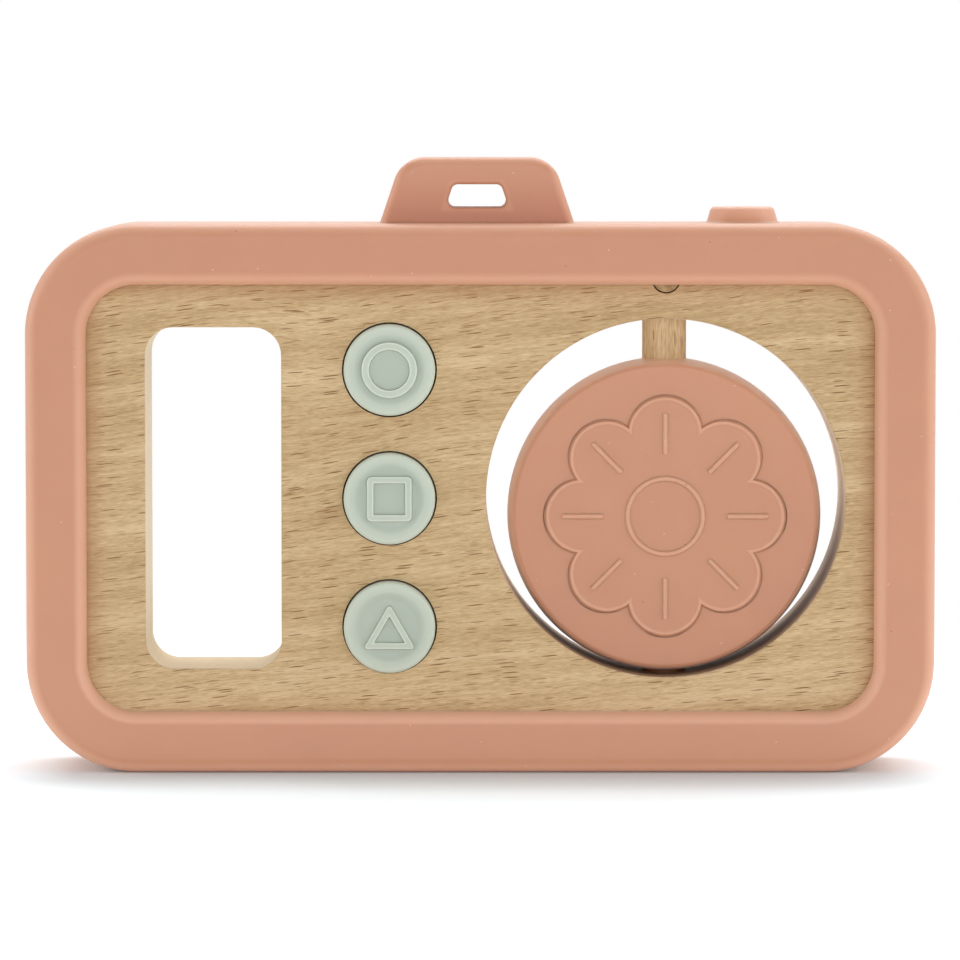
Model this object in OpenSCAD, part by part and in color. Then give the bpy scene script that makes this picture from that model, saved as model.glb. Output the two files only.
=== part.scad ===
// Toy camera: a beech board in a moulded silicone frame, with a finger slot,
// three push-through buttons and a lens that spins on an upright dowel.
// Millimetres. +Z is up, +X is to the right seen from the front, and the front faces -Y.
// The origin is on the ground, under the middle of the frame.

/* [Frame] */
// Width of the silicone frame
frame_w = 135; // [125:0.5:150]
// Height of the frame, without the shoe on top
frame_h = 81.5; // [78:0.1:92]
// Radius of the frame's outer corners
frame_corner_r = 16.4; // [13:0.2:20]
// Width of the frame's face, from its outer edge to its window
frame_face_w = 9; // [8:0.1:10.5]
// Wall between the frame's outer edge and the board
frame_wall = 4; // [3:0.1:5.5]
// Thickness of the lips in front of the board and behind it
lip_t = 3; // [2.6:0.1:4]
// Rounding of the frame's outer edges
frame_edge_r = 2.2; // [1:0.1:2.6]
// Rounding of the lips' edges round the window
window_edge_r = 1.8; // [0.6:0.1:2.4]

/* [Strap shoe] */
// Place of the shoe's middle, to the right of the frame's middle
shoe_x = -0.5; // [-12:0.1:12]
// Width of the shoe where it stands on the frame
shoe_base_w = 29; // [25:0.5:34]
// Width of the shoe at its top, before the corners are rounded
shoe_top_w = 22.4; // [18:0.2:24]
// Height of the shoe above the frame
shoe_h = 9.8; // [8:0.1:12]
// Thickness of the shoe, front to back
shoe_t = 11; // [8:0.5:15]
// Radius of the shoe's two top corners
shoe_corner_r = 4; // [2:0.1:4.5]
// Rounding of the shoe's edges, front and back
shoe_edge_r = 1.3; // [0.5:0.1:1.8]
// Width of the strap slot along its lower edge
slot_w = 9; // [6:0.1:11]
// Height of the strap slot
slot_h = 3.4; // [2.5:0.1:4]
// Height of the strap slot's lower edge above the frame
slot_z = 2.4; // [1.6:0.1:3.4]
// Radius of the strap slot's corners
slot_corner_r = 0.8; // [0.3:0.1:1.1]

/* [Shutter bump] */
// Place of the shutter bump, to the right of the frame's middle
shutter_x = 39.2; // [26:0.1:44]
// Diameter of the bump where it stands on the frame
shutter_base_d = 10.6; // [9:0.1:13]
// Diameter of the bump at its top, before the edge is rounded
shutter_top_d = 9; // [7:0.1:10]
// Height of the bump
shutter_h = 2.4; // [1.6:0.1:4]
// Rounding of the bump's top edge
shutter_edge_r = 0.9; // [0.3:0.1:1.2]

/* [Board] */
// Thickness of the board
board_t = 18; // [17.4:0.2:20]
// Rounding of the edges of the finger slot and of the lens opening
board_edge_r = 0.3; // [0.2:0.1:1]
// Place of the finger slot's middle, to the right of the frame's middle, as a share of its width
grip_share = -0.294; // [-0.31:0.002:-0.274]
// Width of the finger slot
grip_w = 20.2; // [17:0.2:23]
// Distance from the frame's outer edge to the finger slot's ends
grip_end = 15.35; // [13.8:0.05:20]
// Radius of the finger slot's corners
grip_corner_r = 4.2; // [3:0.1:8]
// Place of the lens opening's middle, to the right of the frame's middle, as a share of its width
lens_share = 0.204; // [0.193:0.001:0.207]

/* [Buttons] */
// Place of the column of buttons, to the right of the frame's middle, as a share of its width
button_share = -0.1; // [-0.126:0.002:-0.074]
// How much closer together the buttons stand than if they were spread evenly over the window
row_close = 0.2; // [-1.5:0.1:2]
// Diameter of a button
button_d = 13.7; // [12:0.1:14.5]
// Length of a button, front to back
button_len = 22; // [21.4:0.1:22.4]
// Rounding of a button's edges
button_edge_r = 0.8; // [0.5:0.1:1.8]
// How far a button's waist and the board's land reach in from its side
button_catch = 1; // [0.6:0.1:1.6]
// Thickness of the land in the board that a button snaps over
land_t = 4; // [3:0.1:6]
// How far a button slides from one stop to the other
button_travel = 3.8; // [3:0.1:4]
// Depth of the dish in a button's ends
dish_depth = 0.4; // [0.2:0.05:0.6]
// Width of the rim round the dish
dish_rim = 1.7; // [1:0.1:2]
// How far the circle button stands forward of its middle place
circle_out = -0.7; // [-0.8:0.1:0.8]
// How far the square button stands forward of its middle place
square_out = 0; // [-0.8:0.1:0.8]
// How far the triangle button stands forward of its middle place
triangle_out = 0.6; // [-0.8:0.1:0.8]

/* [Button symbols] */
// Width of a symbol's raised line
line_w = 1.05; // [0.8:0.05:1.4]
// How far a symbol stands above the button's rim
line_rise = 0.3; // [0.1:0.05:0.6]
// Outer diameter of the circle symbol
ring_d = 8.4; // [6.5:0.1:9]
// Outer side of the square symbol
square_side = 6.7; // [5:0.1:7]
// Corner radius of the square symbol
square_corner_r = 0.6; // [0.2:0.1:1]
// Outer side of the triangle symbol
triangle_side = 7.5; // [6.5:0.1:8.2]
// How far the triangle symbol's tips are rounded back
triangle_blunt = 0.5; // [0.2:0.1:0.8]

/* [Lens] */
// Diameter of the lens at its seam
lens_d = 47; // [45.6:0.1:47.6]
// Thickness of the lens, without the raised design
lens_t = 13; // [12:0.1:17]
// Rounding of the lens's edges
lens_edge_r = 0.7; // [0.6:0.1:2]
// Width of the groove along the seam
seam_w = 0.4; // [0.2:0.05:0.8]
// Thickness of the covers' rim, round the wooden core
cover_rim = 3.3; // [2.8:0.1:6]
// Thickness of the covers' face, in front of the wooden core and behind it
cover_face = 2; // [1.7:0.1:2.7]

/* [Raised design] */
// Number of petals
petals = 8; // [6:1:10]
// Radius of a petal's round end, as a share of the lens's radius
petal_round_share = 0.236; // [0.19:0.002:0.26]
// Distance of a petal's round end from the lens's middle, as a share of the lens's radius
petal_reach_share = 0.524; // [0.47:0.002:0.56]
// Height of the petals above the lens's face
petal_rise = 0.4; // [0.3:0.1:0.8]
// Height of the lines above the petals
vein_rise = 0.4; // [0.2:0.1:0.7]
// Width of the lines on the petals
vein_w = 0.9; // [0.6:0.1:1.4]
// Length of the line on a petal, as a share of the lens's radius
vein_share = 0.258; // [0.13:0.002:0.3]
// Outer radius of the ring in the flower's middle, as a share of the lens's radius
heart_share = 0.258; // [0.19:0.002:0.28]

/* [Dowel and pin] */
// Diameter of the dowel
dowel_d = 6.6; // [5.6:0.1:7.2]
// Wood left below the dowel's blind hole
dowel_floor = 3.15; // [2:0.05:6]
// Diameter of the lock pin, as a share of the wood above the lens opening
pin_share = 0.394; // [0.3:0.002:0.45]
// Length of the lock pin
pin_len = 14; // [12:0.5:16]
// Height of the lock pin's middle in the wood above the lens opening, as a share of that wood
pin_place_share = 0.591; // [0.5:0.002:0.63]

/* [Clearances] */
// Space between the board and the frame
board_gap = 0.1; // [0.05:0.05:0.3]
// Space round a button
button_gap = 0.2; // [0.1:0.05:0.4]
// Space between a button's waist and the board's land
land_gap = 0.25; // [0.15:0.05:0.4]
// Space between the dowel and the holes that it is glued in
glue_gap = 0.05; // [0.02:0.01:0.15]
// Space round the lock pin
pin_gap = 0.2; // [0.05:0.05:0.3]
// Space between the dowel and the lens's bore
bore_gap = 0.25; // [0.15:0.05:0.4]
// Space round the core inside the covers
core_gap = 0.05; // [0.02:0.01:0.15]
// How much wider the lens opening is than the lens
lens_play = 6.4; // [5.4:0.1:7.4]
// Space under the lens, between it and the lens opening
lens_gap = 0.35; // [0.25:0.05:0.8]
// How far a cut runs past the face that it opens
cut = 1; // [0.5:0.1:1.5]

/* [Hidden] */
$fn = 96;
hull_fn = 32;
frame_t = board_t + 2 * lip_t;
root = frame_wall * 3 / 4;
board_w = frame_w - 2 * (frame_wall + board_gap);
board_h = frame_h - 2 * (frame_wall + board_gap);
board_corner_r = frame_corner_r - frame_wall - board_gap;
grip_h = frame_h - 2 * grip_end;
grip_x = frame_w * grip_share;
lens_x = frame_w * lens_share;
button_x = frame_w * button_share;
button_pitch = (frame_h - 2 * frame_face_w + button_d) / 4 - row_close;
button_r = button_d / 2;
land_r = button_r - button_catch;
dish_r = button_r - dish_rim;
dish_ball_r = (dish_r ^ 2 + dish_depth ^ 2) / (2 * dish_depth);
lens_r = lens_d / 2;
opening_r = (lens_d + lens_play) / 2;
wood = board_h / 2 - opening_r;
lens_y = lens_gap + lens_r - opening_r;
rim_r = opening_r - lens_gap;
edge_y = lens_t / 2 - lens_edge_r;
edge_x = lens_y + sqrt((rim_r - lens_edge_r) ^ 2 - edge_y ^ 2);
core_r = lens_r - cover_rim;
core_t = lens_t - 2 * cover_face;
core_bore_r = dowel_d / 2 + bore_gap;
cover_bore_r = core_bore_r + bore_gap / 2;
dowel_top = board_h / 2;
dowel_bottom = dowel_floor - board_h / 2;
pin_r = wood * pin_share / 2;
petal_ring_r = lens_r * petal_reach_share;
heart_r = lens_r * heart_share;

// Which pieces to draw

// Stands the toy up. Pieces are drawn lying on their backs, from the middle of the frame:
// x to the right, y up the toy and z out of its front.
module stand() translate([0, 0, frame_h / 2]) rotate([90, 0, 0]) children();

// What a rounding of radius r takes off a corner at the origin, with the solid to its left and below
module corner_waste(r) difference() {
    translate([-r, -r]) square(r + cut);
    translate([-r, -r]) circle(r);
}

module rounded_rect(w, h, r) difference() {
    square([w, h], center = true);
    for (mx = [0, 1], my = [0, 1])
        mirror([mx, 0]) mirror([0, my]) translate([w / 2, h / 2]) corner_waste(r);
}

// Sweeps a section along a rounded rectangle. The section's x points out of the rectangle.
module rect_sweep(w, h, r) for (side = [0:3]) {
    run = (side % 2 == 0 ? h : w) - 2 * r;
    out = (side % 2 == 0 ? w : h) / 2;
    rotate(90 * side) {
        translate([out, 0, 0]) rotate([90, 0, 0]) linear_extrude(run, center = true) children();
        translate([out - r, run / 2, 0]) rotate_extrude(angle = 90) translate([r, 0]) children();
    }
}

// Where a rounding of radius r sits against a side that leans in from base to top
function lean(base, top, h) = atan((base - top) / h);
function rounding_x(base, a, y, r) = base - y * tan(a) - r / cos(a);

module frame_section() difference() {
    translate([-frame_face_w, -frame_t / 2]) square([frame_face_w, frame_t]);
    translate([-frame_face_w - cut, -board_t / 2]) square([frame_face_w - frame_wall + cut, board_t]);
    for (m = [0, 1]) mirror([0, m]) translate([0, frame_t / 2]) {
        corner_waste(frame_edge_r);
        translate([-frame_face_w, 0]) mirror([1, 0]) corner_waste(window_edge_r);
    }
}

// Half of the strap slot, whose sides lean in like the shoe's
module half_slot(a) {
    half = slot_w / 2;
    r = slot_corner_r;
    ys = [r, slot_h - r];
    xs = [for (y = ys) rounding_x(half, a, y, r)];
    polygon([
        [0, 0], [xs[0], 0], [xs[0], ys[0]], [xs[0] + r * cos(a), ys[0] + r * sin(a)],
        [xs[1] + r * cos(a), ys[1] + r * sin(a)], [xs[1], ys[1]], [xs[1], slot_h], [0, slot_h]
    ]);
    for (i = [0, 1]) translate([xs[i], ys[i]]) circle(r);
}

// The strap shoe: two round corners with soft edges, drawn down to a foot inside the frame's wall
module shoe() {
    a = lean(shoe_base_w / 2, shoe_top_w / 2, shoe_h);
    r = shoe_corner_r;
    y = shoe_h - r;
    x = rounding_x(shoe_base_w / 2, a, y, r);
    module soft_disc() rotate_extrude($fn = hull_fn) difference() {
        translate([0, -shoe_t / 2]) square([r, shoe_t]);
        for (m = [0, 1]) mirror([0, m]) translate([r, shoe_t / 2]) corner_waste(shoe_edge_r);
    }
    difference() {
        hull() {
            for (m = [0, 1]) mirror([m, 0, 0]) translate([x, y, 0]) soft_disc();
            translate([0, -root, 0]) rotate([-90, 0, 0]) linear_extrude(root / 2)
                rounded_rect(shoe_base_w + root * tan(a), shoe_t, shoe_edge_r, $fn = hull_fn);
        }
        translate([0, slot_z, 0]) linear_extrude(shoe_t + 2 * cut, center = true)
            for (m = [0, 1]) mirror([m, 0]) half_slot(a);
    }
}

module shutter_section() {
    r = shutter_edge_r;
    base = shutter_base_d / 2;
    a = lean(base, shutter_top_d / 2, shutter_h);
    y = shutter_h - r;
    x = rounding_x(base, a, y, r);
    polygon([
        [0, -root], [base + root * tan(a), -root],
        [x + r * cos(a), y + r * sin(a)], [x, y], [x, shutter_h], [0, shutter_h]
    ]);
    translate([x, y]) circle(r);
}

module silicone_frame() color("#c89278") stand() {
    rect_sweep(frame_w, frame_h, frame_corner_r) frame_section();
    translate([shoe_x, frame_h / 2, 0]) shoe();
    translate([shutter_x, frame_h / 2, 0]) rotate([-90, 0, 0]) rotate_extrude() shutter_section();
}

// What rounds the edge of an opening in the board, as a section whose x points into the wood
module mouth_waste() for (m = [0, 1]) mirror([0, m]) translate([0, board_t / 2])
    mirror([1, 0]) corner_waste(board_edge_r);

module button_hole() {
    through = board_t + 2 * cut;
    cylinder(through, r = land_r, center = true);
    for (m = [0, 1]) mirror([0, 0, m]) translate([0, 0, land_t / 2])
        cylinder(through, r = button_r + button_gap);
}

module beech_board() color("#c9ab80") stand() difference() {
    linear_extrude(board_t, center = true) rounded_rect(board_w, board_h, board_corner_r);
    translate([grip_x, 0, 0]) {
        linear_extrude(board_t + 2 * cut, center = true) rounded_rect(grip_w, grip_h, grip_corner_r);
        rect_sweep(grip_w, grip_h, grip_corner_r) mouth_waste();
    }
    translate([lens_x, 0, 0]) {
        cylinder(board_t + 2 * cut, r = opening_r, center = true);
        rotate_extrude() translate([opening_r, 0]) mouth_waste();
        dowel_shape(glue_gap, cut);
        lock_pin_shape(pin_gap, cut);
    }
    for (row = [-1:1]) translate([button_x, row * button_pitch, 0]) button_hole();
}

// The dowel and the pin, or with a gap round them the holes that they sit in
module dowel_shape(gap, past) translate([0, dowel_bottom - gap, 0]) rotate([-90, 0, 0])
    cylinder(dowel_top - dowel_bottom + gap + past, r = dowel_d / 2 + gap);

module lock_pin_shape(gap, past)
    translate([0, opening_r + wood * pin_place_share, board_t / 2 - pin_len - gap])
        cylinder(pin_len + gap + past, r = pin_r + gap);

module lens_dowel() color("#be9e78") stand() translate([lens_x, 0, 0]) difference() {
    dowel_shape(0, 0);
    lock_pin_shape(pin_gap, cut);
}

module dowel_lock_pin() color("#b89468") stand() translate([lens_x, 0, 0]) lock_pin_shape(0, 0);

module button_section() difference() {
    translate([0, -button_len / 2]) square([button_r, button_len]);
    translate([land_r - land_gap, -(land_t + button_travel) / 2])
        square([button_catch + land_gap + cut, land_t + button_travel]);
    for (m = [0, 1]) mirror([0, m]) translate([0, button_len / 2]) {
        translate([button_r, 0]) corner_waste(button_edge_r);
        translate([0, dish_ball_r - dish_depth]) circle(dish_ball_r);
    }
}

// A button with its symbol, which is drawn as the child, standing in the dish
module push_button(row, out) color("#b4beb0") stand() translate([button_x, row * button_pitch, out]) {
    rotate_extrude() button_section();
    translate([0, 0, button_len / 2 - 2 * dish_depth])
        linear_extrude(2 * dish_depth + line_rise) children();
}

module circle_button() push_button(1, circle_out) difference() {
    circle(ring_d / 2);
    circle(ring_d / 2 - line_w);
}

module square_button() push_button(0, square_out) difference() {
    rounded_rect(square_side, square_side, square_corner_r);
    square(square_side - 2 * line_w, center = true);
}

// The triangle hangs a little low, so that its tip and its base are as far from the button's middle
module triangle_button() {
    tip_r = triangle_side / sqrt(3);
    low = (tip_r / 2 - triangle_blunt) / 2;
    push_button(-1, triangle_out) translate([0, -low]) rotate(90) difference() {
        intersection() {
            circle(tip_r, $fn = 3);
            circle(tip_r - triangle_blunt);
        }
        circle(tip_r - 2 * line_w, $fn = 3);
    }
}

// The lens's rim is bowed like the foot of its opening, so the lens clears that as it spins
module cover_section() difference() {
    reach = lens_r + cut;
    slope = edge_y / (edge_x - lens_y);
    union() {
        intersection() {
            translate([lens_y, 0]) circle(rim_r);
            polygon([[0, 0], [reach, 0], [reach, (reach - lens_y) * slope], [0, -lens_y * slope]]);
        }
        polygon([[0, 0], [edge_x, edge_y], [edge_x, lens_t / 2], [0, lens_t / 2]]);
        translate([edge_x, edge_y]) circle(lens_edge_r);
    }
    translate([-cut, -cut]) square([core_r + core_gap + cut, core_t / 2 + core_gap + cut]);
    polygon([[lens_r - seam_w, 0], [lens_r + cut, 0], [lens_r + cut, seam_w + cut]]);
}

module lens_cover() difference() {
    rotate_extrude() cover_section();
    rotate([90, 90, 0]) cylinder(lens_d + 2 * cut, r = cover_bore_r, center = true);
}

module flower() {
    face = lens_t / 2;
    linear_extrude(face + petal_rise) {
        circle(petal_ring_r);
        for (turn = [1:petals]) rotate(360 * turn / petals) translate([petal_ring_r, 0])
            circle(lens_r * petal_round_share);
    }
    linear_extrude(face + petal_rise + vein_rise) {
        difference() {
            circle(heart_r);
            circle(heart_r - vein_w);
        }
        for (turn = [1:petals]) rotate(360 * turn / petals) translate([petal_ring_r, 0])
            rounded_rect(lens_r * vein_share, vein_w, vein_w / 2);
    }
}

module lens_front_cover() color("#c89278") stand() translate([lens_x, lens_y, 0]) {
    lens_cover();
    difference() {
        flower();
        cylinder(core_t / 2 + core_gap, r = lens_r);
    }
}

module lens_back_cover() color("#c08a70") stand() translate([lens_x, lens_y, 0])
    mirror([0, 0, 1]) lens_cover();

module lens_core() color("#c9ab80") stand() translate([lens_x, lens_y, 0]) difference() {
    cylinder(core_t, r = core_r, center = true);
    rotate([90, 0, 0]) cylinder(2 * (core_r + cut), r = core_bore_r, center = true);
}

silicone_frame();
beech_board();
circle_button();
square_button();
triangle_button();
lens_dowel();
dowel_lock_pin();
lens_core();
lens_front_cover();
lens_back_cover();
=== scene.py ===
import math

import bmesh
import bpy
from mathutils import Matrix, Vector


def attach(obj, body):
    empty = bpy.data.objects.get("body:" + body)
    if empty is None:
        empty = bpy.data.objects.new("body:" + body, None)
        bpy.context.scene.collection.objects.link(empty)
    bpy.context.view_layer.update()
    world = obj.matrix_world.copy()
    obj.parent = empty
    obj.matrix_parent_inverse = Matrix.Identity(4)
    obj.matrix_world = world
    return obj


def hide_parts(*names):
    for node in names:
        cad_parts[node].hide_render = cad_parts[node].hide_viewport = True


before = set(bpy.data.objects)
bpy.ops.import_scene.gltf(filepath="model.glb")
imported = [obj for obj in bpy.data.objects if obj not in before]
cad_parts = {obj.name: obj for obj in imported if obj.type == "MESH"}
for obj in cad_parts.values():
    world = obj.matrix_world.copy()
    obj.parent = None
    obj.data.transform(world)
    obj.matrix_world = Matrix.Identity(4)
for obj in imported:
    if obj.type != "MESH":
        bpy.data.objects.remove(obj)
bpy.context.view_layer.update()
scene = bpy.context.scene
mm = 0.001
print("toy camera: frame loaded with", len(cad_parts), "nodes")

# New pieces are drawn in mm as seen from the front: x right, y up from the middle, z out of the front
toyHeight = 81.5
weldGap = 1e-4 * mm
creaseAngle = 40
plainWhite = (1, 1, 1, 1)
standUp = (
    Matrix.Translation((0, 0, toyHeight / 2 * mm))
    @ Matrix.Rotation(math.pi / 2, 4, "X")
    @ Matrix.Scale(mm, 4)
)


# Node building

class Wire:
    # A socket that takes part in sums. Every other node comes from node().
    def __init__(self, tree, socket=None):
        self.tree = tree
        self.socket = socket

    def node(self, kind, settings=None, sockets=None, out=0):
        made = self.tree.nodes.new(kind)
        for key, value in (settings or {}).items():
            if key == "stops":
                while len(made.color_ramp.elements) < len(value):
                    made.color_ramp.elements.new(1)
                for element, (place, colour) in zip(made.color_ramp.elements, value):
                    element.position, element.color = place, colour
            elif key == "choices":
                while len(made.index_switch_items) < value:
                    made.index_switch_items.new()
            else:
                setattr(made, key, value)
        for key, value in (sockets or {}).items():
            for one in value if isinstance(value, list) else [value]:
                if isinstance(one, Wire):
                    self.tree.links.new(one.socket, made.inputs[key])
                else:
                    made.inputs[key].default_value = one
        return Wire(self.tree, made.outputs[out] if made.outputs else None)

    def also(self, out):
        return Wire(self.tree, self.socket.node.outputs[out])

    def math(self, operation, *values):
        return self.node("ShaderNodeMath", {"operation": operation}, dict(enumerate(values)))

    def __add__(self, other):
        return self.math("ADD", self, other)

    def __radd__(self, other):
        return self.math("ADD", other, self)

    def __sub__(self, other):
        return self.math("SUBTRACT", self, other)

    def __rsub__(self, other):
        return self.math("SUBTRACT", other, self)

    def __mul__(self, other):
        return self.math("MULTIPLY", self, other)

    def __rmul__(self, other):
        return self.math("MULTIPLY", other, self)

    def __truediv__(self, other):
        return self.math("DIVIDE", self, other)

    def __rtruediv__(self, other):
        return self.math("DIVIDE", other, self)

    def __neg__(self):
        return self.math("MULTIPLY", self, -1)

    def __abs__(self):
        return self.math("ABSOLUTE", self)

    # 0 below low, 1 above high and a smooth step between. Low may be the larger one.
    def step(self, low, high):
        return self.node(
            "ShaderNodeMapRange",
            {"interpolation_type": "SMOOTHSTEP"},
            {"Value": self, "From Min": low, "From Max": high},
        )

    def tinted(self, base, colour):
        return self.node("ShaderNodeMix", {"data_type": "RGBA"}, {0: self, 6: base, 7: colour}, out=2)


def srgb(red, green, blue):
    def linear(value):
        value /= 255
        return value / 12.92 if value <= 0.04045 else ((value + 0.055) / 1.055) ** 2.4

    return (linear(red), linear(green), linear(blue), 1)


def newMaterial(name):
    material = bpy.data.materials.new(name)
    material.use_nodes = True
    material.node_tree.nodes.clear()
    return material, Wire(material.node_tree)


def newTree(name, sizes):
    tree = bpy.data.node_groups.new(name, "GeometryNodeTree")
    tree.interface.new_socket("Geometry", in_out="OUTPUT", socket_type="NodeSocketGeometry")
    for label in sizes:
        tree.interface.new_socket(label, in_out="INPUT", socket_type="NodeSocketFloat")
    given = tree.nodes.new("NodeGroupInput")
    return Wire(tree), {label: Wire(tree, given.outputs[label]) for label in sizes}


def grownMesh(wire, shape, material, sizes):
    whole = wire.node("GeometryNodeRealizeInstances", None, {"Geometry": shape})
    painted = wire.node("GeometryNodeSetMaterial", None, {"Geometry": whole, "Material": material})
    wire.node("NodeGroupOutput", None, {0: painted})
    holder = bpy.data.objects.new("holder", bpy.data.meshes.new("holder"))
    scene.collection.objects.link(holder)
    modifier = holder.modifiers.new("shape", "NODES")
    modifier.node_group = wire.tree
    for item in wire.tree.interface.items_tree:
        if item.item_type == "SOCKET" and item.in_out == "INPUT":
            modifier[item.identifier] = float(sizes[item.name])
    return evaluated(holder)


# The plain mesh of an object with its modifiers. The object itself goes.
def evaluated(holder):
    seen = holder.evaluated_get(bpy.context.evaluated_depsgraph_get())
    mesh = bpy.data.meshes.new_from_object(seen)
    holder.modifiers.clear()
    bpy.data.objects.remove(holder)
    return mesh


# Mesh building

def meshFrom(points, faces):
    mesh = bpy.data.meshes.new("shell")
    mesh.from_pydata(points, [], faces)
    return mesh


def combined(meshes):
    points, faces = [], []
    for mesh in meshes:
        first = len(points)
        points += [corner.co.copy() for corner in mesh.vertices]
        faces += [[first + i for i in face.vertices] for face in mesh.polygons]
    return meshFrom(points, faces)


# A line through corners (x, y, rounding), with a spare point by each rounding so that flats stay flat
def softLine(corners, steps=8, spare=0.12):
    line = []
    for i, (x, y, rounding) in enumerate(corners):
        here = Vector((x, y))
        if not rounding:
            line.append(here)
            continue
        back = (Vector(corners[i - 1][:2]) - here).normalized()
        ahead = (Vector(corners[(i + 1) % len(corners)][:2]) - here).normalized()
        half = back.angle(ahead) / 2
        reach = rounding / math.tan(half)
        middle = here + (back + ahead).normalized() * rounding / math.sin(half)
        arm = here + back * reach - middle
        turn = (math.pi - 2 * half) * (-1 if back.x * ahead.y - back.y * ahead.x > 0 else 1)
        line.append(here + back * (reach + spare))
        line += [middle + Matrix.Rotation(turn * k / steps, 2) @ arm for k in range(steps + 1)]
        line.append(here + ahead * (reach + spare))
    return line


def arc(x, y, radius, start, end, steps):
    angles = [math.radians(start + (end - start) * k / steps) for k in range(steps + 1)]
    return [Vector((x + radius * math.cos(a), y + radius * math.sin(a))) for a in angles]


# Turns a line of (radius, height) points round z. Points on the axis become poles.
def lathe(line, steps):
    onAxis = 1e-6
    points, faces, rings = [], [], []
    for radius, height in line:
        if radius < onAxis:
            rings.append([len(points)] * steps)
            points.append((0, 0, height))
        else:
            rings.append(list(range(len(points), len(points) + steps)))
            for k in range(steps):
                angle = 2 * math.pi * k / steps
                points.append((radius * math.cos(angle), radius * math.sin(angle), height))
    for low, high in zip(rings, rings[1:]):
        for k in range(steps):
            n = (k + 1) % steps
            face = [low[k], high[k], high[n], low[n]]
            faces.append(list(dict.fromkeys(face)))
    return meshFrom(points, faces)


# Skins a run of closed loops that have the same number of points
def loft(loops, closeRun=False):
    points = [point for loop in loops for point in loop]
    size = len(loops[0])
    faces = []
    for j in range(len(loops) if closeRun else len(loops) - 1):
        low, high = j * size, (j + 1) % len(loops) * size
        faces += [(low + k, low + (k + 1) % size, high + (k + 1) % size, high + k) for k in range(size)]
    return meshFrom(points, faces)


# The finished piece: moved to its place, given painted highlight and shade by a rule on its own points, and
# tied to its body
def addPiece(name, mesh, place, paintedLightRule, material, body, node):
    rule = mesh.attributes.new("pale", "FLOAT", "POINT")
    rule.data.foreach_set("value", [paintedLightRule(corner.co) for corner in mesh.vertices])
    mesh.transform(standUp @ place)
    mended = bmesh.new()
    mended.from_mesh(mesh)
    bmesh.ops.remove_doubles(mended, verts=mended.verts, dist=weldGap)
    bmesh.ops.recalc_face_normals(mended, faces=mended.faces)
    mended.to_mesh(mesh)
    mended.free()
    mesh.materials.clear()
    mesh.materials.append(material)
    mesh.shade_smooth()
    mesh.set_sharp_from_angle(angle=math.radians(creaseAngle))
    mesh.name = name
    piece = bpy.data.objects.new(name, mesh)
    scene.collection.objects.link(piece)
    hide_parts(node)
    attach(piece, body)
    print("toy camera:", name, "made with", len(mesh.polygons), "faces")
    return piece


def smooth(value, low, high):
    t = min(max((value - low) / (high - low), 0), 1)
    return t * t * (3 - 2 * t)


# A tint that grows to its share as the value goes from low to high
def tint(value, share, low, high):
    return share * smooth(value, low, high)


# Camera, lights and floor

view = {
    "place": (-0.00006, -0.8242, 0.0969),
    "pitch": 3.75,
    "lens": 206.2,
    "sensor": 36,
    "clip": (0.01, 100),
}
cameraData = bpy.data.cameras.new("photoCamera")
cameraData.lens = view["lens"]
cameraData.sensor_width = view["sensor"]
cameraData.clip_start, cameraData.clip_end = view["clip"]
camera = bpy.data.objects.new("photoCamera", cameraData)
camera.location = view["place"]
camera.rotation_euler = (math.radians(90 - view["pitch"]), 0, 0)
scene.collection.objects.link(camera)
scene.camera = camera
scene.view_settings.view_transform = "Standard"

lamps = {
    "overhead": {"place": (0.05, 0.4, 0.8), "size": (1.2, 0.7), "power": 6.4},
    "front": {"place": (0.1, -1.2, 0.17), "size": (1.6, 0.3), "power": 4.3},
    "right": {"place": (0.9, -0.2, 0.3), "size": (0.7, 0.7), "power": 2.5},
    "left": {"place": (-0.95, -0.1, 0.3), "size": (0.7, 0.7), "power": 2.6},
}
aim = Vector((0, 0, 0.04))
for name, lamp in lamps.items():
    lampData = bpy.data.lights.new(name, "AREA")
    lampData.shape = "RECTANGLE"
    lampData.size, lampData.size_y = lamp["size"]
    lampData.energy = lamp["power"]
    lampObject = bpy.data.objects.new(name, lampData)
    lampObject.location = lamp["place"]
    lampObject.rotation_euler = (aim - lampObject.location).to_track_quat("-Z", "Y").to_euler()
    scene.collection.objects.link(lampObject)

surround = {"fill": 0.4, "seen": 1.0}
scene.world = bpy.data.worlds.new("studio")
scene.world.use_nodes = True
scene.world.node_tree.nodes.clear()
studio = Wire(scene.world.node_tree)
ray = studio.node("ShaderNodeLightPath")
seenRay = ray.math("MAXIMUM", ray, ray.also("Is Glossy Ray"))
seenRay = seenRay.math("MAXIMUM", seenRay, ray.also("Is Transmission Ray"))
dim = studio.node("ShaderNodeBackground", None, {"Color": plainWhite, "Strength": surround["fill"]})
white = studio.node("ShaderNodeBackground", None, {"Color": plainWhite, "Strength": surround["seen"]})
sky = studio.node("ShaderNodeMixShader", None, {0: seenRay, 1: dim, 2: white})
studio.node("ShaderNodeOutputWorld", None, {"Surface": sky})

floorLook = {
    "size": 30, "drop": 0.05 * mm, "near": 0.1, "far": 0.25,
    "colour": plainWhite, "seen": (1.14, 1.23, 1.29), "lift": 0.05,
    "footX": 46 * mm, "footY": 10 * mm, "shadowAtFoot": 0.56, "footReach": 26 * mm,
}
floorMaterial, wire = newMaterial("paleFloor")
ray = wire.node("ShaderNodeLightPath")
seenRay = ray.math("MAXIMUM", ray, ray.also("Is Glossy Ray"))
spot = wire.node("ShaderNodeTexCoord", out="Object")
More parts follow.
